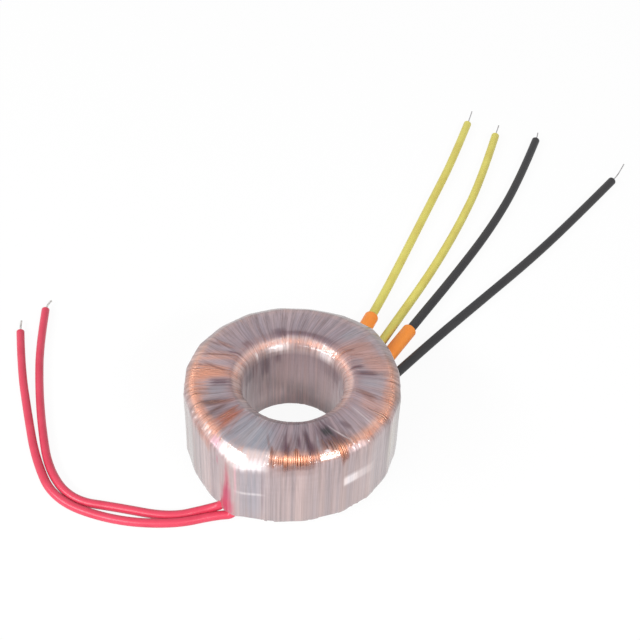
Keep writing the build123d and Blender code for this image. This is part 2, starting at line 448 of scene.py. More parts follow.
def strand_tree():
    """A tree that lays strands round a path and twists them."""
    graph, given, keys = geometry_tree("twisted_strands", {
        "Strands": "NodeSocketInt", "Strand radius": "NodeSocketFloat",
        "Twist pitch": "NodeSocketFloat", "Material": "NodeSocketMaterial"})
    path = graph.node("GeometryNodeMeshToCurve", None, {0: given["Geometry"]})
    steps = graph.node("GeometryNodeResampleCurve", None, {"Curve": path, "Count": STRAND_STEPS})
    copies = {"domain": "SPLINE"}
    inputs = {"Geometry": steps, "Amount": given["Strands"]}
    laid = graph.node("GeometryNodeDuplicateElements", copies, inputs)
    number = Socket(graph, laid.socket.node.outputs[1])
    along = graph.node("GeometryNodeSplineParameter", output=1)
    angle = (number / given["Strands"] + along / given["Twist pitch"]) * tau
    normal = graph.node("GeometryNodeInputNormal")
    tangent = graph.node("GeometryNodeInputTangent")
    across = graph.vectors("CROSS_PRODUCT", tangent, normal)
    reach = given["Strand radius"] * 2.0
    out = []
    for axis, wave in ((normal, "COSINE"), (across, "SINE")):
        share = {0: axis, "Scale": graph.math(wave, angle) * reach}
        out.append(graph.node("ShaderNodeVectorMath", {"operation": "SCALE"}, share))
    shift = {"Geometry": laid, "Offset": graph.vectors("ADD", *out)}
    moved = graph.node("GeometryNodeSetPosition", None, shift)
    middle = graph.node("GeometryNodeJoinGeometry", None, {0: moved})
    graph.tree.links.new(steps.socket, middle.socket.node.inputs[0])
    section = ring(graph, STRAND_SIDES, given["Strand radius"])
    skin = {"Curve": middle, "Profile Curve": section, "Fill Caps": True}
    finished(graph, graph.node("GeometryNodeCurveToMesh", None, skin), given["Material"])
    return graph.tree, keys


strand_nodes, strand_keys = strand_tree()
bare_ends = {}
for name, (straight, onward) in BARE_ENDS.items():
    face, before = Vector(ROUTES[name][-1]), Vector(ROUTES[name][-2])
    way = (face - before).normalized()
    elbow = face + way * straight
    guide = nurbs_path(name + "_guide", [face - way * MM, elbow, elbow + Vector(onward)])
    line = bpy.data.meshes.new_from_object(guide.evaluated_get(bpy.context.evaluated_depsgraph_get()))
    bpy.data.objects.remove(guide)
    tip = baked(name + "_strands", line, strand_nodes, strand_keys, {
        "Strands": STRANDS, "Strand radius": STRAND_D / 2,
        "Twist pitch": TWIST_PITCH, "Material": tinned})
    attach(tip, "root")
    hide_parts(name + "_bare_end")
    bare_ends[name] = tip
    print(tip.name, len(tip.data.polygons), "faces")

# %% [markdown]
# The other four leads are the winding's own wire, which comes out of its sleeve bare and bent. Those
# ends keep their CAD shape and get the wire's finish. With the ends made, the point where each route
# leaves the film is worked out once more, and not kept.

wire_end = material("wire_end", metal((0.42, 0.41, 0.42), (0.28, 0.26, 0.26), 0.25, 0.02))
for name, lead in leads.items():
    if name not in bare_ends:
        coat(name + "_bare_end", wire_end)
    leaves_ring(ROUTES[name])
print("cords declared:", len(leads))

# %% [markdown]
# ## The copper turns
# Under the film lies the winding: hundreds of turns of enamelled wire, side by side round the wall.
# In the hole there is less than half that room, so every second turn drops behind its neighbours. A
# texture would look painted at the bends, so the turns are real. A geometry tree makes two loops of
# wire, one a little deeper in the hole, and sets them in turn round the axis. Each has a small lean
# and is a little out of step, by a share of the room for one turn.

# %% The copper winding
TURNS = 384
WIRE_D = 0.46 * MM
WALL_BEND = 2.6 * MM
BORE_BEND = 3.4 * MM
DEEPER = 0.42 * MM
WIRE_SIDES = 6
BEND_POINTS = 5
OUT_OF_STEP = 0.18
TURN_LEAN = 0.006
SMALLEST_TURN = 0.9975


def enamel(graph):
    """Enamelled copper: each turn a little lighter or darker, with a varnish coat."""
    turn = graph.attribute("turn")
    where = place(graph)
    patch = graph.noise(where, 320.0, 2.0)
    tone = graph.ease(turn * 0.75 + patch * 0.25, 0.1, 0.9)
    return {
        "Base Color": graph.tones(tone, (0.66, 0.28, 0.155), (0.80, 0.44, 0.30)),
        "Metallic": 0.85,
        "Roughness": 0.38 + patch * 0.12,
        "Coat Weight": 0.3 + patch * 0.2,
        "Coat Roughness": 0.15,
    }


copper = material("enamelled_copper", enamel)


def point(graph, x, z):
    """A vector in the plane of a loop, or a pair of turns about X and Z."""
    return graph.node("ShaderNodeCombineXYZ", None, {0: x, 2: z})


def loop_of_wire(graph, given, deeper, section):
    """One turn: a rounded rectangle in the XZ plane, skinned as a wire."""
    half = given["Wire diameter"] * 0.5
    out = given["Outside"] - half
    inside = given["Inside"] + half + deeper
    low = given["Bottom"] + half
    high = given["Top"] - half
    corners = {"Point 1": point(graph, out, low), "Point 2": point(graph, out, high),
               "Point 3": point(graph, inside, high - deeper * 0.5),
               "Point 4": point(graph, inside, low + deeper * 0.5)}
    box = graph.node("GeometryNodeCurvePrimitiveQuadrilateral", {"mode": "POINTS"}, corners)
    index = graph.node("GeometryNodeInputIndex")
    at_bore = graph.math("GREATER_THAN", index, 1.5)
    bend = given["Wall bend"] + at_bore * (given["Bore bend"] - given["Wall bend"])
    bent = graph.node("GeometryNodeFilletCurve", {"mode": "POLY"},
                      {"Curve": box, "Count": BEND_POINTS, "Radius": bend, "Limit Radius": True})
    skin = graph.node("GeometryNodeCurveToMesh", None, {"Curve": bent, "Profile Curve": section})
    return graph.node("GeometryNodeGeometryToInstance", None, {0: skin})


def chance(graph, low, high, seed):
    """A random number for each turn."""
    return graph.node("FunctionNodeRandomValue", {"data_type": "FLOAT"},
                      {2: low, 3: high, "Seed": seed}, output=1)


def winding_tree():
    """A tree that sets loops of wire round the axis."""
    sizes = ("Wire diameter", "Outside", "Inside", "Bottom", "Top", "Wall bend", "Bore bend", "Deeper")
    inputs = {"Turns": "NodeSocketInt", "Seed": "NodeSocketInt", "Material": "NodeSocketMaterial"}
    inputs.update({size: "NodeSocketFloat" for size in sizes})
    graph, given, keys = geometry_tree("winding", inputs)
    section = ring(graph, WIRE_SIDES, given["Wire diameter"] * 0.5)
    # The last link into a join comes first, so the plain loop is number 0 and the deep one 1.
    pair = graph.node("GeometryNodeJoinGeometry", None,
                      {0: loop_of_wire(graph, given, given["Deeper"], section)})
    shallow = loop_of_wire(graph, given, 0.0, section)
    graph.tree.links.new(shallow.socket, pair.socket.node.inputs[0])
    points = graph.node("GeometryNodePoints", None, {"Count": given["Turns"]})
    index = graph.node("GeometryNodeInputIndex")
    seed = given["Seed"]
    step = (index + chance(graph, -OUT_OF_STEP, OUT_OF_STEP, seed)) / given["Turns"] * tau
    lean = chance(graph, -TURN_LEAN, TURN_LEAN, seed + 1)
    rotation = point(graph, lean, step)
    size = chance(graph, SMALLEST_TURN, 1.0, seed + 2)
    scale = graph.node("ShaderNodeCombineXYZ", None, {0: size, 1: size, 2: 1.0})
    turns = graph.node("GeometryNodeInstanceOnPoints", None, {
        "Points": points, "Instance": pair, "Pick Instance": True,
        "Instance Index": graph.math("MODULO", index, 2.0), "Rotation": rotation, "Scale": scale})
    marked = graph.node("GeometryNodeStoreNamedAttribute", {"domain": "INSTANCE", "data_type": "FLOAT"}, {
        "Geometry": turns, "Name": "turn", "Value": chance(graph, 0.0, 1.0, seed + 3)})
    finished(graph, marked, given["Material"])
    return graph.tree, keys


winding_nodes, winding_keys = winding_tree()
turns = baked("copper_turns", bpy.data.meshes.new("axis"), winding_nodes, winding_keys, {
    "Turns": TURNS, "Seed": 7, "Material": copper, "Wire diameter": WIRE_D,
    "Outside": wound_out, "Inside": wound_in, "Bottom": wound_low.z, "Top": wound_high.z,
    "Wall bend": WALL_BEND, "Bore bend": BORE_BEND, "Deeper": DEEPER})
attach(turns, "root")
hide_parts("black_secondary")
print("copper turns:", len(turns.data.polygons), "faces")

# %% [markdown]
# ## The film: its section
# Going round the ring's section, the place on it is one number: 0 to 1 up the hole, 1 to 2 out over
# the top, 2 to 3 down the wall and 3 to 4 back underneath. Tight film cuts each corner as a flat
# facet between two small bends. Most facets lean about ten degrees away from the light, and the
# listed stretches, in degrees of azimuth, don't lean and catch it. Where film bridges the leads
# there is room for a wider facet, and the broad shoulder over the pad is the smoothest of all.

# %% Facets along the rims
AROUND = 960
FACET = 0.62
MISS = 0.17
RIPPLES = 7
EDGE_COLUMNS = 11
SOFT_COLUMNS = 33
SHOULDER = radians(-117.0)
SHOULDER_HALF = radians(13.0)
BRIDGE_FROM = 0.6 * MM
BRIDGE_GAIN = 0.8
OUTER_CATCHES = [
    (-177, -174), (-168, -167), (-155, -153), (-151, -149), (-142.5, -140), (-130, -103),
    (-101.5, -98), (-80.6, -79.4), (-75, -63.5), (-58, -55.5), (-54.5, -52), (-51, -46)]
BORE_CATCHES = [(38, 71), (97.5, 99.5), (101.5, 121), (134, 136)]
rng = np.random.default_rng(11)
azimuths = np.arange(AROUND) * tau / AROUND
wall = np.array([wall_radius(azimuth) for azimuth in azimuths])
zero = np.zeros(AROUND)


def turned(angle):
    """An angle brought to between minus and plus half a turn."""
    return (angle + pi) % tau - pi


def leans(catches, ripple):
    """The lean of each column's facet: none where it catches the light, more elsewhere."""
    degrees = np.degrees(turned(azimuths))
    waves = MISS + ripple * np.sin(azimuths * RIPPLES + 1.0)
    for start, end in catches:
        waves = np.where((degrees >= start) & (degrees <= end), 0.0, waves)
    return waves


def mean_over(values, columns):
    """The running mean of values over an odd number of columns."""
    return sum(np.roll(values, k - columns // 2) for k in range(columns)) / columns


near_shoulder = np.exp(-np.abs(turned(azimuths - SHOULDER) / SHOULDER_HALF) ** 4)
edge_rounded = mean_over(wall, EDGE_COLUMNS)
wall = edge_rounded + near_shoulder * (mean_over(wall, SOFT_COLUMNS) - edge_rounded)
outer_lean = leans(OUTER_CATCHES, 0.04)
bore_lean = leans(BORE_CATCHES, 0.03)
outer_reach = OUTER_ROUND + BRIDGE_GAIN * np.maximum(wall - wound_out - BRIDGE_FROM, 0.0)
print("facets:", len(OUTER_CATCHES), "outer and", len(BORE_CATCHES), "bore catches")

# %% [markdown]
# Each upper rim is sixteen rows: a bend, a facet and a bend again. The lower rims take every second
# one of theirs. Low on the wall the film stands out a little further over the red leads, as a hood.

# %% Rows of the section
FLAT_FROM = 0.85
SHOULDER_SHARPER = 0.14
FACET_ENDS = 0.2
BORE_SPREAD = 1.2
LOW_REACH = 2.2 * MM
RIM_SHARE = 0.12
HOLE_ROWS, TOP_ROWS, WALL_ROWS, UNDER_ROWS = 12, 12, 27, 4
HOOD = 0.75 * MM
HOOD_AZIMUTH = radians(-120.5)
HOOD_HALF = radians(6.0)
HOOD_PLACES, HOOD_SHARES = (2.45, 2.75, 3.05, 3.5), (0.0, 1.0, 1.0, 0.0)
BEND_STEPS = np.linspace(0.0, 1.0, 6)[:, None]
FACET_STEPS = np.linspace(0.0, 1.0, 6)[1:-1, None]


def bend(start, corner, end):
    """Rows along a quadratic bend between two points."""
    t = BEND_STEPS
    return [(1 - t) ** 2 * a + 2 * t * (1 - t) * b + t ** 2 * c for a, b, c in zip(start, corner, end)]


def rim(reach, lean, flat_from=FLAT_FROM):
    """Rows of a faceted corner, as insets and drops, and the share of the way along of each."""
    flat, drop = FACET * reach * (1 + lean), FACET * reach * (1 - lean)
    near = (flat * (1 - FACET_ENDS), drop * FACET_ENDS)
    far = (flat * FACET_ENDS, drop * (1 - FACET_ENDS))
    first = bend((zero + reach * flat_from, zero), (flat, zero), near)
    last = bend(far, (zero, drop), (zero, zero + reach * flat_from))
    middle = [a + FACET_STEPS * (b - a) for a, b in zip(near, far)]
    insets, drops = (np.concatenate(part) for part in zip(first, middle, last))
    steps = np.hypot(np.diff(insets, axis=0), np.diff(drops, axis=0)).mean(1)
    return insets, drops, np.concatenate([[0.0], np.cumsum(steps) / steps.sum()])


def rim_rows(part, middle, every=1):
    """A rim round a whole place, as rows of radius, height and place: 1 and 2 are at the top."""
    insets, drops, shares = part
    edge, sign = (bore_r, 1) if middle in (1, 4) else (wall, -1)
    order = range(0, len(insets), every)
    if middle in (1, 3):
        order = reversed(order)
        shares = 1 - shares
    for k in order:
        z = height - drops[k] if middle < 3 else drops[k]
        yield edge + sign * insets[k], zero + z, middle - RIM_SHARE + 2 * RIM_SHARE * shares[k]


def flat_rows(start, end, middle, count):
    """Rows between two rims, from one radius and height to another."""
    for t in np.linspace(0.0, 1.0, count + 2)[1:-1]:
        radius, z = (a + t * (b - a) for a, b in zip(start, end))
        yield zero + radius, zero + z, middle - 0.5 + RIM_SHARE + (1 - 2 * RIM_SHARE) * t


outer_flat = FLAT_FROM - SHOULDER_SHARPER * near_shoulder
outer_rim = rim(outer_reach, outer_lean, outer_flat)
bore_reach = BORE_SPREAD * BORE_ROUND
bore_flat, low_flat = bore_reach * FLAT_FROM, LOW_REACH * FLAT_FROM
wall_flat = outer_reach * outer_flat
rows = [
    *flat_rows((bore_r, low_flat), (bore_r, height - bore_flat), 0.5, HOLE_ROWS),
    *rim_rows(rim(bore_reach, bore_lean), 1),
    *flat_rows((bore_r + bore_flat, height), (wall - wall_flat, height), 1.5, TOP_ROWS),
    *rim_rows(outer_rim, 2),
    *flat_rows((wall, height - wall_flat), (wall, wall_flat), 2.5, WALL_ROWS),
    *rim_rows(outer_rim, 3, 2),
    *flat_rows((wall - wall_flat, 0.0), (bore_r + low_flat, 0.0), 3.5, UNDER_ROWS),
    *rim_rows(rim(zero + LOW_REACH, zero), 4, 2)]
radii, heights = (np.array([row[part] for row in rows]) for part in (0, 1))
places = np.array([row[2] for row in rows]) % 4
hood = np.exp(-np.abs(turned(azimuths - HOOD_AZIMUTH) / HOOD_HALF) ** 4)
radii = radii + HOOD * hood * np.interp(places, HOOD_PLACES, HOOD_SHARES)[:, None]
print("film skin:", radii.shape, "rows by columns")

# %% [markdown]
# ## The film: passes and creases
# Two things break the surface up. Each pass of film has an edge a few hundredths of a millimetre
# high, that slants as it crosses the top. And film that is wide at the wall has to gather at the
# hole, so it creases. Both are worked out on the whole grid at once, as sums over seeded lists. They
# are slighter on the taut rims, and they move points only inwards, along the surface's own normal.

# %% Passes and creases
PASSES = 46
PASS_HALF = radians(17.0)
PASS_STEP = 0.03 * MM
PASS_SLANT = (0.02, 0.17)
PASS_SWAY = 0.05
CREASES = 420
CREASE_SLANT = 0.1
CREASE_WIDTH = (0.12 * MM, 0.45 * MM)
CREASE_REACH = (0.25, 0.8)
CREASE_FOLD = (-0.05 * MM, 0.10 * MM)
TAUTNESS = 0.7
SMOOTHNESS = 0.8
HIGHEST = 0.1 * MM
DEEPEST = 0.3 * MM
azimuth_grid = np.broadcast_to(azimuths, radii.shape)
place_grid = np.broadcast_to(places[:, None], radii.shape)
# A pass gains its slant over the top, keeps it down the wall and loses it underneath.
slant_share = np.clip(place_grid - 1.0, 0.0, 1.0) + np.clip(3.0 - place_grid, -1.0, 0.0)


def band(value, middle, half, soft):
    """1 inside a band and 0 outside it, with soft sides."""
    return 1.0 / (1.0 + np.exp(np.minimum((np.abs(value - middle) - half) / soft, 60.0)))


layers = np.zeros(radii.shape)
for middle in (np.arange(PASSES) + rng.uniform(-0.5, 0.5, PASSES)) * tau / PASSES:
    slant = rng.uniform(*PASS_SLANT)
    sway = rng.uniform(-PASS_SWAY, PASS_SWAY)
    sweep = middle + slant * slant_share + sway * np.sin(place_grid * pi)
    layers += band(turned(azimuth_grid - sweep), 0.0, PASS_HALF * rng.uniform(0.8, 1.2), 0.0035)
layers -= layers.mean()

creases = np.zeros(radii.shape)
for _ in range(CREASES):
    middle, slant = rng.uniform(0, tau), rng.uniform(-CREASE_SLANT, CREASE_SLANT)
    width = rng.uniform(*CREASE_WIDTH)
    start = rng.choice([0.5, 1.0, 1.0, 2.0, 3.0]) + rng.uniform(-0.45, 0.45)
    reach = rng.uniform(*CREASE_REACH)
    fold = rng.uniform(*CREASE_FOLD)
    across = turned(azimuth_grid - middle - slant * (place_grid - start)) * radii
    along = band(turned((place_grid - start) * pi / 2) * 2 / pi, 0.0, reach / 2, 0.05)
    creases += fold * np.exp(-(across / width) ** 2) * along
taut = band(place_grid, 2.0, 0.06, 0.01) + band(place_grid, 1.0, 0.06, 0.01)
smoothed = 1 - SMOOTHNESS * near_shoulder * band(place_grid, 2.0, 0.25, 0.04)
bumps = (PASS_STEP * layers + creases) * (1 - TAUTNESS * taut) * smoothed
relief = np.clip(bumps - HIGHEST, -DEEPEST, 0.0)
print(f"layers {layers.min():.1f} to {layers.max():.1f}, relief from {relief.min() / MM:.2f} mm")

# %% [markdown]
# The grid then becomes a mesh: one closed surface, whose rows and columns both join up.

# %% The film skin
slope_r = np.roll(radii, -1, 0) - np.roll(radii, 1, 0)
slope_z = np.roll(heights, -1, 0) - np.roll(heights, 1, 0)
length = np.hypot(slope_r, slope_z)
radii = radii - slope_z / length * relief
heights = heights + slope_r / length * relief
corners = np.stack([radii * np.cos(azimuth_grid), radii * np.sin(azimuth_grid), heights], -1)
down, across = radii.shape
index = np.arange(down * across).reshape(down, across)
right, below = np.roll(index, -1, 1), np.roll(index, -1, 0)
faces = np.stack([index, below, np.roll(below, -1, 1), right], -1).reshape(-1, 4)
skin_mesh = bpy.data.meshes.new("film_skin")
skin_mesh.from_pydata(corners.reshape(-1, 3), [], faces.tolist())
skin_mesh.polygons.foreach_set("use_smooth", [True] * len(skin_mesh.polygons))
skin = placed("film_skin", skin_mesh)
print("film skin:", len(skin_mesh.polygons), "faces")

# %% [markdown]
# ## What shows through the film
# Where film is tight or thin it is clear, and copper shows. Where many passes overlap it is milky,
# with a mauve cast from the copper. Going round the section this changes the same way everywhere,
# so three small tables give the film's colour, how milky it is, and how streaky. The colour table
# also holds painted light in the hole, lighter low down and on its rim.

# %% Tables along the section
# The base colour is painted lighter low in the hole, from 0.40 down to 0.15 and again from 3.5 to 4.15,
# to lift the shade near the floor. Along the hole's rim, 0.90 to 1.03, it is lighter partly for copper
# under clear film and partly as painted light on the lit rounding.
BASE_TABLE = [
    (0.15, (0.600, 0.490, 0.490)), (0.40, (0.385, 0.295, 0.295)), (0.84, (0.250, 0.184, 0.195)),
    (0.90, (0.470, 0.390, 0.380)), (1.03, (0.500, 0.410, 0.400)), (1.08, (0.250, 0.195, 0.215)),
    (1.30, (0.260, 0.213, 0.237)), (1.80, (0.300, 0.245, 0.262)), (1.85, (0.400, 0.275, 0.255)),
    (1.93, (0.540, 0.330, 0.260)), (2.05, (0.400, 0.315, 0.310)), (2.20, (0.355, 0.285, 0.282)),
    (2.80, (0.375, 0.305, 0.298)), (3.50, (0.370, 0.310, 0.300)), (4.15, (0.600, 0.490, 0.490))]
VEIL_TABLE = [
    (0.0, 0.92), (0.82, 0.90), (0.90, 0.66), (1.00, 0.52), (1.06, 0.74), (1.25, 0.90), (1.70, 0.86),
    (1.84, 0.78), (1.92, 0.62), (1.96, 0.66), (2.00, 0.74), (2.10, 0.86), (2.60, 0.98), (3.20, 0.92),
    (4.0, 0.92)]
STREAK_TABLE = [
    (0.0, 0.40), (0.80, 0.6), (1.0, 0.9), (1.8, 1.0), (2.1, 0.7), (2.3, 0.60), (3.0, 0.60), (4.0, 0.40)]


def along_section(table):
    """A table's values at every row, as a column of numbers or of colours."""
    stops, values = zip(*table)
    values = np.array(values, float).reshape(len(stops), -1)
    return np.stack([np.interp(places, stops, column) for column in values.T], -1)


base = np.repeat(along_section(BASE_TABLE)[:, None, :], AROUND, 1)
veil = along_section(VEIL_TABLE) + 0.03 * layers
streaks = along_section(STREAK_TABLE) * smoothed
print("section tables:", base.shape, veil.shape, streaks.shape)

# %% [markdown]
# The rest is particular to one place or another: windows of bare copper on the flanks, dark wedges
# where film has lifted off the turns, the pad, the red leads' glow through the wall. Some patches are
# painted light: highlights on the rims, light in the hole, and shade on the left wall. Each is a
# soft patch: an azimuth, a place, half sizes, a slant in degrees for each unit of place, the milk
# that it adds or takes, a colour and how much of that colour. Two things need a mask of their own:
# the pale strip on the wall, which has straight edges and fades to one end, and the left rim, which
# is dull.

# %% Patches
PLUM = (0.075, 0.036, 0.055)
SOOT = (0.004, 0.009, 0.010)
RUST = (0.270, 0.075, 0.042)
BROWN = (0.165, 0.075, 0.065)
WARM = (0.460, 0.240, 0.185)
SLATE = (0.265, 0.262, 0.290)
PALE = (0.520, 0.470, 0.480)
ROSE = (0.640, 0.300, 0.380)
CHERRY = (0.360, 0.060, 0.115)
STRAW = (0.370, 0.350, 0.270)
MAUVE = (0.290, 0.240, 0.258)
STONE = (0.255, 0.218, 0.207)
DUSK = (0.180, 0.130, 0.148)
UMBER = (0.100, 0.048, 0.046)
AMBER = (0.500, 0.230, 0.150)
BLUSH_LIGHT = (0.800, 0.640, 0.640)
PEACH_HIGHLIGHT = (0.780, 0.500, 0.400)
EMBER = (0.500, 0.150, 0.060)
DIM = (0.300, 0.225, 0.220)
CERISE = (0.420, 0.060, 0.110)
MILK_AND_HIGHLIGHT = (0.760, 0.700, 0.690)
PATCHES = [
    # the left flank
    (-172.5, 1.3, 4.2, 0.24, -2, 0, PLUM, 1.0), (-164, 1.45, 7, 0.3, 3, 0.05, SLATE, 0.5),
    (-150, 1.52, 9, 0.28, -3, 0.05, DUSK, 0.8), (-174, 1.78, 12, 0.2, 0, -0.1, AMBER, 0.5),
    (-151, 1.88, 20, 0.09, 0, -0.08, WARM, 0.6),
    (-153, 1.42, 2.2, 0.34, -9, -0.16, BROWN, 0.95), (-155, 1.64, 2.4, 0.22, -6, 0, UMBER, 0.8),
    (-148, 1.62, 1.8, 0.28, 4, 0, UMBER, 0.8), (-138.5, 1.5, 5.0, 0.34, 3, -0.28, RUST, 1.0),
    (-140.5, 1.45, 0.7, 0.3, 3, 0, BROWN, 0.8), (-131.5, 1.45, 1.0, 0.36, 6, -0.1, RUST, 0.6),
    # The stone patch at -163 is painted shade: it darkens the left wall, which the left softbox lights
    # strongly.
    (-142, 2.1, 9, 0.08, 0, -0.2, WARM, 0.6), (-163, 2.55, 17, 0.45, 0, 0, STONE, 1.0),
    # These three thin milk patches on the left rim are painted highlights, glints of the left softbox.
    (-143.3, 1.965, 0.6, 0.035, 0, 0.2, MILK_AND_HIGHLIGHT, 0.7), (-141.2, 1.97, 0.7, 0.04, 0, 0.2, MILK_AND_HIGHLIGHT, 0.7),
    (-137.8, 1.985, 0.6, 0.03, 0, 0.4, MILK_AND_HIGHLIGHT, 0.9),
    # the pad and the red leads
    (-123, 1.88, 6, 0.065, 0, 0.2, SLATE, 0.9), (-129.5, 1.88, 4.0, 0.07, 0, 0.3, SLATE, 0.8),
    (-117, 1.5, 15, 0.4, 5, 0.1, SLATE, 0.95), (-109, 2.5, 6.5, 0.42, 0, 0.1, SLATE, 0.6),
    (-103.5, 1.68, 0.8, 0.28, 12, -0.1, BROWN, 0.8), (-131, 2.0, 3.5, 0.05, 0, 0.4, ROSE, 0.7),
    # The two milk patches over the pad's shoulder are a painted highlight, whitening the broad reflection
    # of the left softbox.
    (-122.5, 1.995, 6.0, 0.055, 0, 0.55, MILK_AND_HIGHLIGHT, 0.9),
    (-110.0, 2.05, 8.0, 0.085, 0, 0.55, MILK_AND_HIGHLIGHT, 0.9), (-121.5, 2.68, 3.4, 0.2, 2, 0, CHERRY, 0.85),
    (-121.5, 2.52, 2.0, 0.28, 2, 0, CHERRY, 0.5),
    (-121.5, 2.8, 4.4, 0.12, 0, 0, CERISE, 0.9), (-128, 2.2, 0.8, 0.07, 0, 0, CHERRY, 0.5),
    (-116.5, 2.3, 0.6, 0.24, 0, 0, ROSE, 0.35), (-103.6, 2.45, 0.5, 0.4, 0, 0, DUSK, 0.6),
    (-109.5, 2.5, 6.0, 0.018, 2, 0, MILK_AND_HIGHLIGHT, 0.5),
    # the front
    (-81, 1.63, 20, 0.34, 2, 0, DUSK, 0.7), (-63, 1.5, 14, 0.38, 5, 0, DUSK, 0.4),
    (-94, 1.62, 1.2, 0.34, 2, 0, PLUM, 0.95), (-93.2, 1.8, 2.8, 0.18, 2, 0, PLUM, 0.9),
    (-100.8, 1.84, 0.9, 0.12, 8, -0.1, BROWN, 0.8),
    (-85.2, 1.62, 1.2, 0.16, 0, 0, PLUM, 0.8), (-87.0, 1.88, 1.5, 0.08, 0, -0.4, RUST, 0.6),
    (-79.5, 1.58, 1.7, 0.3, 2, 0, PLUM, 0.95), (-78.2, 1.8, 2.6, 0.18, 2, 0, PLUM, 0.9),
    (-73.5, 1.75, 1.2, 0.22, -2, 0, SLATE, 0.6), (-64, 1.77, 8.5, 0.16, 6, -0.15, UMBER, 0.95),
    (-75, 2.0, 30, 0.055, 0, -0.3, WARM, 0.3), (-90, 2.0, 9, 0.055, 0, -0.5, EMBER, 0.75),
    (-88, 2.09, 11, 0.045, 0, -0.35, BROWN, 0.5), (-88, 2.16, 12, 0.05, 0, 0, BROWN, 0.25),
    (-65, 1.45, 6.5, 0.34, 6, 0.05, PLUM, 0.75), (-65, 1.43, 3.2, 0.135, 4, 0.15, SOOT, 0.98),
    (-62, 1.95, 2.4, 0.05, 0, -0.3, RUST, 0.8), (-61.5, 2.06, 2.4, 0.09, 0, -0.4, RUST, 0.5),
    # The peach and blush bands at place 2.01 and the small milk spot at -70 are painted highlights on the
    # front rim, where the softboxes reflect.
    (-69.5, 2.01, 5.5, 0.035, 0, 0.3, PEACH_HIGHLIGHT, 0.9), (-53, 2.01, 6, 0.045, 0, 0.4, BLUSH_LIGHT, 0.7),
    (-70, 1.92, 1.6, 0.02, 0, 0.4, MILK_AND_HIGHLIGHT, 0.9), (-50, 1.48, 2.5, 0.14, 6, 0, PLUM, 0.6),
    (-58, 1.62, 0.6, 0.3, 10, 0.15, MILK_AND_HIGHLIGHT, 0.35), (-35.5, 1.55, 0.5, 0.34, -7, 0.2, MILK_AND_HIGHLIGHT, 0.4),
    # the right flank
    (-25, 1.6, 6, 0.3, -5, -0.1, WARM, 0.4), (-16.3, 1.38, 3.0, 0.24, -11, -0.08, BROWN, 0.75),
    (-32, 1.97, 18, 0.04, 0, -0.14, WARM, 0.5), (-9, 1.86, 12, 0.12, 0, -0.16, WARM, 0.6),
    (-4, 1.42, 4, 0.28, 0, 0.05, SLATE, 0.7),
    (6, 1.34, 2.6, 0.26, -4, 0, PLUM, 0.9), (14.5, 1.17, 1.8, 0.12, -3, 0, PLUM, 0.9),
    (14, 1.62, 8, 0.28, -10, -0.06, WARM, 0.6), (32, 1.4, 10, 0.4, -12, -0.08, WARM, 0.6),
    (28, 1.28, 1.0, 0.16, -12, -0.1, BROWN, 0.7), (35, 1.18, 1.4, 0.14, -12, -0.1, BROWN, 0.7),
    (-22, 2.45, 7, 0.26, 0, 0, STRAW, 0.7), (-10, 2.4, 6, 0.45, 0, 0, STONE, 0.8),
    (-38, 2.48, 14, 0.4, 0, 0, PALE, 0.3),
    # the back
    (95, 1.93, 62, 0.12, 0, 0.5, MAUVE, 0.8),
    (80, 1.12, 30, 0.05, 0, 0.05, PLUM, 0.65), (103, 1.18, 6, 0.09, 0, 0.05, PLUM, 0.6),
    (136, 1.16, 3.5, 0.08, 0, 0, PLUM, 0.7), (148, 1.55, 2.2, 0.26, 6, -0.1, BROWN, 0.5),
    (159, 1.45, 4.5, 0.4, 10, -0.12, WARM, 0.7), (158.5, 1.5, 0.8, 0.4, 10, 0, UMBER, 0.9),
    (151.5, 1.2, 0.9, 0.13, 6, 0, PLUM, 0.8), (176, 1.5, 6.5, 0.42, 2, -0.26, AMBER, 0.9),
    (171.5, 1.4, 1.1, 0.34, -9, 0, BROWN, 0.9), (47, 1.6, 4, 0.24, -4, 0.05, SLATE, 0.7),
    (30, 1.9, 14, 0.1, 0, 0.25, SLATE, 0.6),
    # the hole
    (-125, 1.03, 24, 0.07, 0, 0.4, PALE, 0.7), (-76, 1.03, 27, 0.07, 0, 0.4, MAUVE, 0.8),
    (124, 0.73, 6, 0.13, 0, 0, PLUM, 0.75), (108, 0.8, 4, 0.05, 0, 0, PLUM, 0.6),
    # The blush patch low in the hole and the two pale patches on the hole's sides are painted light,
    # lifting the shade inside the hole.
    (80, 0.15, 30, 0.16, 0, 0, BLUSH_LIGHT, 0.9),
    (163, 0.74, 15, 0.18, 0, 0.1, PALE, 0.8), (12, 0.72, 14, 0.16, 0, 0.1, PALE, 0.5),
    (83, 0.98, 12, 0.07, 0, 0.1, DIM, 0.7),
    (40, 0.74, 14, 0.08, 0, 0, PLUM, 0.35), (150, 0.74, 9, 0.07, 0, 0, PLUM, 0.5),
    # The milk patches at 49, 108 and 135 on the hole's far rim are painted highlights, where the
    # softboxes reflect.
    (49, 0.92, 11, 0.05, 0, 0.3, MILK_AND_HIGHLIGHT, 0.8), (108, 0.94, 13, 0.05, 0, 0.3, MILK_AND_HIGHLIGHT, 0.8),
    (135, 0.93, 1.4, 0.06, 0, 0.3, MILK_AND_HIGHLIGHT, 0.9),
]
STRIP_FROM, STRIP_TO = -61.5, -41.5
STRIP_PLACE, STRIP_HALF = 2.455, 0.06
STRIP_RUN, STRIP_SHARES = (0.0, 0.36, 0.46, 1.0), (0.9, 0.75, 0.4, 0.1)
DULL_PLACE, DULL_HALF = 1.96, 0.10
DULL_AZIMUTH, DULL_SPREAD = -153.0, 30.0
RAGGED_ENDS, RAGGED_SHARE = 0.22, 0.3
degrees_grid = np.degrees(turned(azimuth_grid))
ragged = np.convolve(rng.normal(0.0, 1.0, AROUND + 2), [0.3, 0.4, 0.3], "valid")
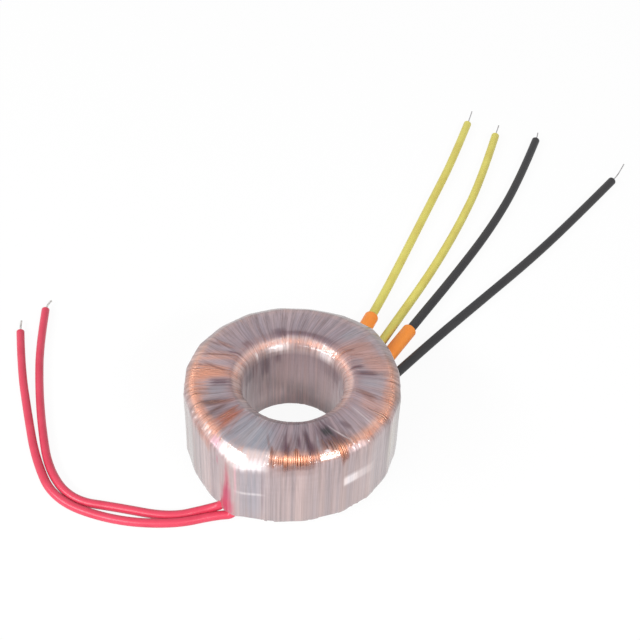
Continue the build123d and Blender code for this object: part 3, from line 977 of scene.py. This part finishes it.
for azimuth, spot, wide, tall, slant, milk, colour, share in PATCHES:
    upright = azimuth_grid - radians(slant) * (place_grid - spot)
    away = turned(upright - radians(azimuth)) / radians(wide)
    rag = ragged[np.round(upright / tau * AROUND).astype(int) % AROUND]
    reach = tall * (1 + RAGGED_ENDS * rag)
    mask = np.exp(-np.abs(away) ** 4 - np.abs((place_grid - spot) / reach) ** 4)
    mask *= np.clip(1 + RAGGED_SHARE * rag, 0, 1)
    veil = veil + milk * mask
    base = base + (share * mask)[..., None] * (np.array(colour) - base)
strip_run = (degrees_grid - STRIP_FROM) / (STRIP_TO - STRIP_FROM)
strip_mask = band(place_grid, STRIP_PLACE, STRIP_HALF, 0.006) * band(strip_run, 0.5, 0.5, 0.01)
strip_mask *= np.interp(strip_run, STRIP_RUN, STRIP_SHARES)
base = base + strip_mask[..., None] * (np.array(MILK_AND_HIGHLIGHT) - base)
dulled = band(place_grid, DULL_PLACE, DULL_HALF, 0.015)
dulled *= band(degrees_grid, DULL_AZIMUTH, DULL_SPREAD, 1.5)


def store(name, kind, values, field="value"):
    """Keeps an array on the skin's points as a named attribute."""
    attribute = skin_mesh.attributes.new(name, kind, "POINT")
    attribute.data.foreach_set(field, np.ascontiguousarray(values, np.float32).ravel())


GRAIN_SLANT = 0.09
GRAIN_SWAY, GRAIN_DRIFT = 0.035, 0.02
slanted = azimuth_grid + GRAIN_SLANT * slant_share
along_pass = GRAIN_SWAY * np.sin(place_grid * pi / 2) + GRAIN_DRIFT * place_grid
store("veil", "FLOAT", veil)
store("streaks", "FLOAT", streaks)
store("dulled", "FLOAT", dulled)
store("grain", "FLOAT_VECTOR", np.stack([np.cos(slanted), np.sin(slanted), along_pass], -1), "vector")
store("base", "FLOAT_COLOR", np.concatenate([base, np.ones((*radii.shape, 1))], -1), "color")
print(f"veil {veil.min():.2f} to {veil.max():.2f} over {len(PATCHES)} patches")

# %% [markdown]
# ## The finish of the film
# Film has one strong cue: streaks that run with the wrap, from the hole over the top and down the
# wall. The stored grain vector turns round the ring and hardly changes along a pass, so noise on it
# gives long streaks at once. Milky streaks are nearly solid, clear ones are see-through, and the
# shine is high except on the dulled rim. Transparency is the Alpha of one shader, which a game
# engine can read too.

# %% Film material
CLEAREST, MILKIEST = 0.12, 0.97


def clear_film(graph):
    """Lapped plastic film, from clear to milky in streaks along the wrap."""
    grain = graph.attribute("grain", output=1)
    depth = graph.attribute("streaks")
    broad = graph.noise(grain, 13.0, 3.0, 0.6)
    streak = graph.noise(grain, 34.0, 4.0, 0.62)
    fine = graph.noise(grain, 120.0, 3.0, 0.6)
    cross = graph.noise(graph.vectors("MULTIPLY", grain, (3.0, 3.0, 900.0)), 1.0, 3.0)
    mixed = streak * 0.42 + fine * 0.3 + broad * 0.28
    milk = graph.attribute("veil") + (mixed - 0.5) * 1.5 * depth
    shade = 1.0 + (mixed - 0.5) * 2.8 * depth + (cross - 0.5) * 0.12
    cast = graph.tones(graph.ease(broad, 0.35, 0.65), (0.97, 0.98, 1.03), (1.04, 0.98, 0.97))
    tinted = graph.blend(1.0, graph.attribute("base", output=0), cast, "MULTIPLY")
    return {
        "Base Color": graph.blend(1.0, tinted, shade, "MULTIPLY"),
        "Roughness": 0.05 + fine * 0.07 + graph.attribute("dulled") * 0.22,
        "IOR": 1.52,
        "Alpha": graph.ease(milk, 0.0, 1.0, CLEAREST, MILKIEST),
        "Normal": graph.bump(mixed * depth, 0.05 * MM, 0.7),
    }


skin_mesh.materials.append(material("clear_film", clear_film))
skin.visible_shadow = False
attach(skin, "root")
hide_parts("outer_film")
print("film finish ready")

# %% [markdown]
# ## The layers that show through
# The pad, the strip, the splices and the inner layers keep their CAD shapes. They are seen only
# through film or between turns, but each still has a finish that suits it.

# %% Finishes of the inner layers
def mottled(first, second, scale, rough, metallic=0.0):
    """A simple two-tone finish with a patchy shine."""
    def finish(graph):
        where = place(graph)
        patch = graph.noise(where, scale, 4.0)
        fine = graph.noise(where, scale * 9.0, 2.0)
        return {
            "Base Color": graph.tones(graph.ease(patch, 0.3, 0.7), first, second),
            "Metallic": metallic,
            "Roughness": rough + fine * 0.15,
            "Normal": graph.bump(fine, 0.02 * MM, 0.6),
        }
    return finish


inner_copper = material("inner_copper", mottled((0.50, 0.20, 0.11), (0.66, 0.29, 0.17), 700.0, 0.35, 0.8))
FINISHES = {
    "splice_pad": material("pad_tape", mottled((0.50, 0.56, 0.62), (0.62, 0.67, 0.72), 260.0, 0.5)),
    "type_strip": material("strip_paper", mottled((0.86, 0.84, 0.82), (0.94, 0.92, 0.90), 500.0, 0.55)),
    "strip_core": material(
        "core_steel", mottled((0.40, 0.41, 0.43), (0.52, 0.53, 0.55), 900.0, 0.3, 0.9)),
    "core_tape": material("core_tape", mottled((0.78, 0.75, 0.62), (0.68, 0.65, 0.53), 300.0, 0.45)),
    "barrier_film": material(
        "barrier_film", mottled((0.70, 0.67, 0.60), (0.78, 0.75, 0.68), 300.0, 0.35)),
    "primary_winding": inner_copper,
    "yellow_secondary": inner_copper,
}
solder = material("solder", metal((0.60, 0.60, 0.60), (0.42, 0.42, 0.43), 0.3, 0.04))
for name in ("red_splice_outer", "red_splice_inner"):
    FINISHES[name] = solder
for name, finish in FINISHES.items():
    coat(name, finish)
print("inner finishes:", len(FINISHES))

# %% [markdown]
# ## Floor and light
# The floor and the world are plain white to the camera and to reflections, through Light Path, and
# give only a plain level of light to the object. Two wide softboxes stand in front, a little lower
# than the camera, one to each side. Their reflections make the bright bands on the facets that face
# them, at the near rim and in the far rim of the hole, and painted highlights in the film's colour
# add to those bands.

# %% Floor
FLOOR_SIZE = 4.0
FLOOR_AT = -0.02 * MM
FLOOR_GLOW = 0.93
scene.view_settings.view_transform = "Standard"


def seen_directly(graph):
    """1 for rays that see the background: from the camera, off gloss or through a clear surface."""
    rays = [graph.node("ShaderNodeLightPath", output=name)
            for name in ("Is Camera Ray", "Is Glossy Ray", "Is Transmission Ray")]
    return graph.math("MAXIMUM", graph.math("MAXIMUM", rays[0], rays[1]), rays[2])


half = FLOOR_SIZE / 2
floor_mesh = bpy.data.meshes.new("floor")
around = ((-half, -half), (half, -half), (half, half), (-half, half))
floor_corners = [(x, y, FLOOR_AT) for x, y in around]
floor_mesh.from_pydata(floor_corners, [], [(0, 1, 2, 3)])
floor = placed("floor", floor_mesh)
white = bpy.data.materials.new("white_floor")
graph = emptied(white)
diffuse = graph.node("ShaderNodeBsdfDiffuse", None, {"Color": (0.9, 0.9, 0.9, 1.0)})
glow = graph.node("ShaderNodeEmission", None, {"Color": (1.0, 1.0, 1.0, 1.0), "Strength": 1.0})
shares = {0: seen_directly(graph) * FLOOR_GLOW, 1: diffuse, 2: glow}
mixed = graph.node("ShaderNodeMixShader", None, shares)
graph.node("ShaderNodeOutputMaterial", None, {"Surface": mixed})
floor_mesh.materials.append(white)

# %% World and softboxes
WORLD_LIGHT = 0.42
SOFTBOX_AWAY = 1.0
world = bpy.data.worlds.new("studio")
scene.world = world
graph = emptied(world)
strength = graph.math("ADD", seen_directly(graph) * (1.0 - WORLD_LIGHT), WORLD_LIGHT)
sky = graph.node("ShaderNodeBackground", None, {"Color": (1.0, 1.0, 1.0, 1.0), "Strength": strength})
graph.node("ShaderNodeOutputWorld", None, {"Surface": sky})


def softbox(name, azimuth, elevation, size, watts):
    """A rectangular lamp that faces the ring from a direction, in degrees."""
    lamp = bpy.data.lights.new(name, "AREA")
    lamp.shape = "RECTANGLE"
    lamp.size, lamp.size_y = size
    lamp.energy = watts
    holder = placed(name, lamp)
    turn, rise = radians(azimuth), radians(elevation)
    way = Vector((cos(turn) * cos(rise), sin(turn) * cos(rise), sin(rise)))
    holder.location = way * SOFTBOX_AWAY
    holder.rotation_mode = "QUATERNION"
    holder.rotation_quaternion = (-way).to_track_quat("-Z", "Y")


softbox("key_right", -52.0, 38.0, (0.50, 0.13), 4.6)
softbox("key_left", -141.0, 35.0, (1.15, 0.14), 10.5)
print("light ready")

# %% [markdown]
# ## The last update
# The view layer is brought up to date once more.

# %% Finish
bpy.context.view_layer.update()
